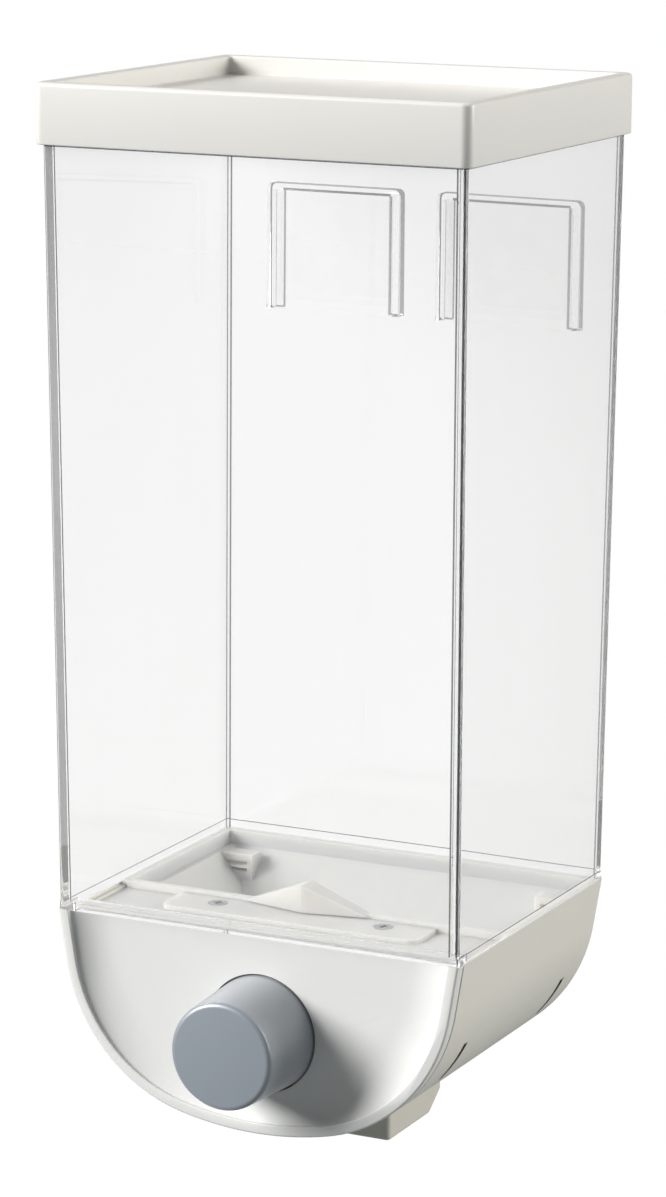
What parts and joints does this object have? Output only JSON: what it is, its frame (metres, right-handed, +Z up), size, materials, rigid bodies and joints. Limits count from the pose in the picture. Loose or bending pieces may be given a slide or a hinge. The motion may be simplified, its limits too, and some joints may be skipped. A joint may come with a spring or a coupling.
{
  "type": "dry food dispenser",
  "caption": "Wall-hung dry food dispenser: a clear tapered container with a lid on a half-round base, where a push knob slides a gate over the outlet spout.",
  "frame": {"origin": "On the wall's face, midway between the two adhesive pads and at their mid-height.", "axes": "+X to the right seen from the front, +Y into the wall, +Z up."},
  "size_m": [0.11, 0.1111, 0.2491],
  "materials": {
    "white_plastic": "smooth moulded white plastic",
    "shell_plastic": "smooth moulded warm white plastic",
    "beige_plastic": "satin warm grey plastic",
    "grey_plastic": "satin blue-grey plastic",
    "clear_plastic": "clear polished plastic",
    "soft_seal": "soft translucent white",
    "screw_steel": "zinc-plated steel",
    "spring_steel": "drawn spring wire",
    "pad_gel": "clear gel adhesive pad"
  },
  "bodies": {
    "wall_side": {"wall_plate_left": "clear_plastic", "wall_plate_right": "clear_plastic", "adhesive_pad_left": "pad_gel", "adhesive_pad_right": "pad_gel"},
    "dispenser": {"container": "clear_plastic", "base_shell": "shell_plastic", "front_cover": "white_plastic", "hopper": "white_plastic", "mechanism_cover": "white_plastic", "mechanism_cover_screws": "screw_steel", "guide_bracket": "white_plastic", "guide_post": "screw_steel", "gate_rail_left": "white_plastic", "gate_rail_right": "white_plastic", "outlet_spout": "beige_plastic", "spout_screws": "screw_steel", "return_spring": "spring_steel"},
    "lid": {"lid": "white_plastic", "lid_seal": "soft_seal"},
    "plunger": {"push_knob": "grey_plastic", "slide_gate": "white_plastic", "knob_screws": "screw_steel"}
  },
  "joints": [
    {"name": "unhook", "type": "slide", "parent": "wall_side", "child": "dispenser", "axis": [0, 0, 1], "range_m": [0, 0.03]},
    {"name": "lid_lift", "type": "slide", "parent": "dispenser", "child": "lid", "axis": [0, 0, 1], "range_m": [0, 0.03]},
    {"name": "knob_press", "type": "slide", "parent": "dispenser", "child": "plunger", "axis": [0, 1, 0], "range_m": [0, 0.015], "stiffness_N_per_m": 180, "springref_m": -0.01, "deforming": ["return_spring"]}
  ]
}
